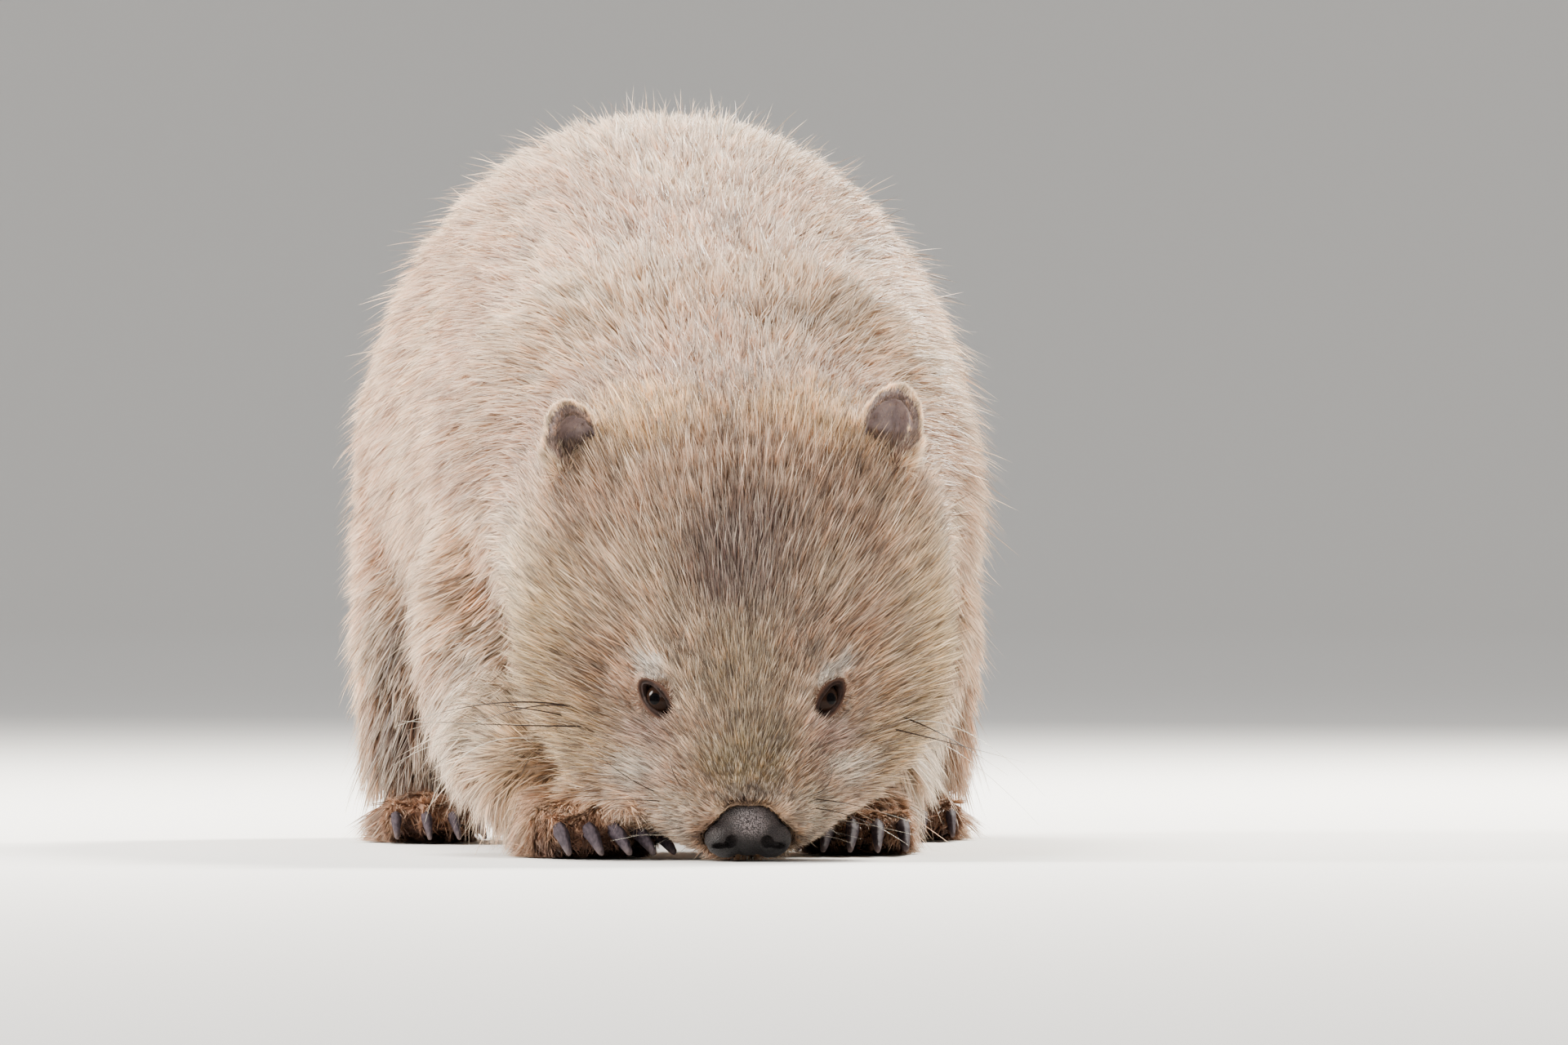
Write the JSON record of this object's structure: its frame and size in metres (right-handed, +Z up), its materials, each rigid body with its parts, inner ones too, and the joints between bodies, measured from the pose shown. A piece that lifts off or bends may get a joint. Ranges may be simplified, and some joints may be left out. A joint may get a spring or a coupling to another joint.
{
  "type": "wombat",
  "caption": "Bare-nosed wombat with a pale coat, grazing: a life-size still model, head lowered, nose at the ground, standing on its clawed feet.",
  "frame": {"origin": "middle of the overall bounding box, on the ground under the soles", "axes": "+Z up, -Y the way the animal faces, +X its left side"},
  "size_m": [0.3196, 0.764, 0.3702],
  "materials": {
    "coat": "dense bristly fur, pale cream to tan",
    "ear": "short grey-brown hair over thin skin",
    "paw": "short reddish-brown hair over leathery skin",
    "nose": "bare, granular, slightly moist skin",
    "eye": "wet, dark brown",
    "claw": "worn dark horn"
  },
  "bodies": {
    "root": {"head": "coat", "jaw": "coat", "neck": "coat", "trunk": "coat", "tail": "coat", "foreleg_left": "coat", "foreleg_right": "coat", "hindleg_left": "coat", "hindleg_right": "coat", "ear_left": "ear", "ear_right": "ear", "forefoot_left": "paw", "forefoot_right": "paw", "hindfoot_left": "paw", "hindfoot_right": "paw", "nose": "nose", "eye_left": "eye", "eye_right": "eye", "claw_forefoot_left_1": "claw", "claw_forefoot_left_2": "claw", "claw_forefoot_left_3": "claw", "claw_forefoot_left_4": "claw", "claw_forefoot_left_5": "claw", "claw_forefoot_right_1": "claw", "claw_forefoot_right_2": "claw", "claw_forefoot_right_3": "claw", "claw_forefoot_right_4": "claw", "claw_forefoot_right_5": "claw", "claw_hindfoot_left_1": "claw", "claw_hindfoot_left_2": "claw", "claw_hindfoot_left_3": "claw", "claw_hindfoot_left_4": "claw", "claw_hindfoot_right_1": "claw", "claw_hindfoot_right_2": "claw", "claw_hindfoot_right_3": "claw", "claw_hindfoot_right_4": "claw"}
  },
  "joints": []
}
